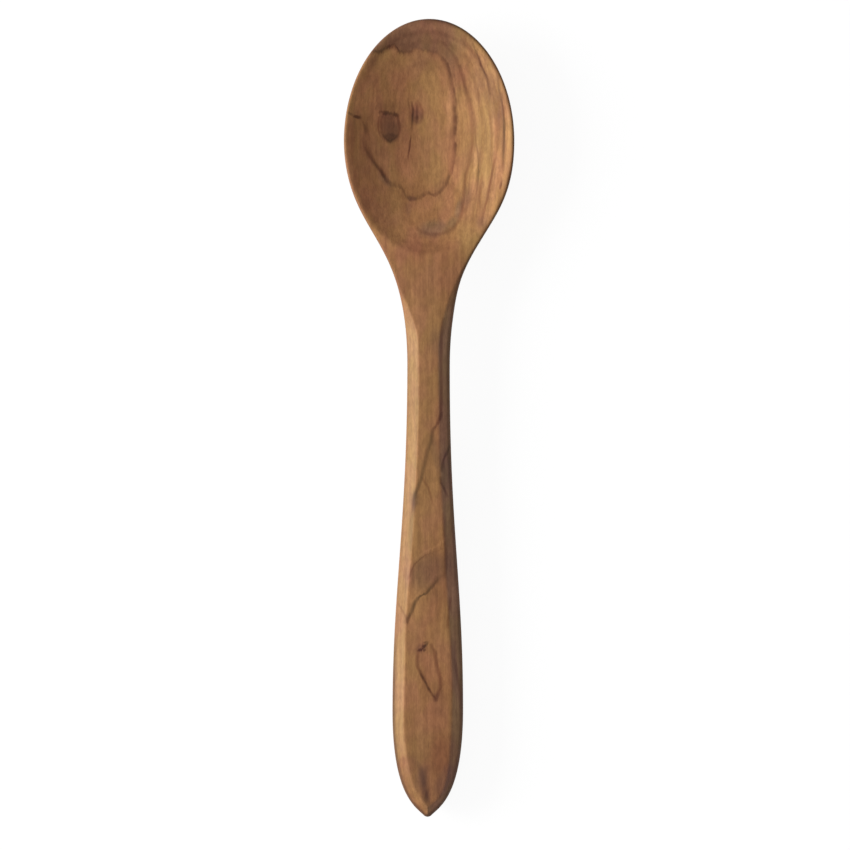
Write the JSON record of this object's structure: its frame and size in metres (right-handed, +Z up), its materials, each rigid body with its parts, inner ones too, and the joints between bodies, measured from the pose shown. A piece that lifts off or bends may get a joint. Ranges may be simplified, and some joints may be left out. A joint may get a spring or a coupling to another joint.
{
  "type": "wooden spoon",
  "caption": "Carved wooden cooking spoon: oval hollowed bowl, flat-topped neck and a chamfered handle that swells towards a pointed end.",
  "frame": {"origin": "middle of the spoon's length and width, on the table it lies on", "axes": "+X to the right with the bowl away, +Y from the handle's point to the bowl's far end, +Z up out of the bowl"},
  "size_m": [0.064, 0.3, 0.016],
  "materials": {
    "teak": "sanded and lightly oiled"
  },
  "bodies": {
    "root": {"carved_spoon": "teak"}
  },
  "joints": []
}
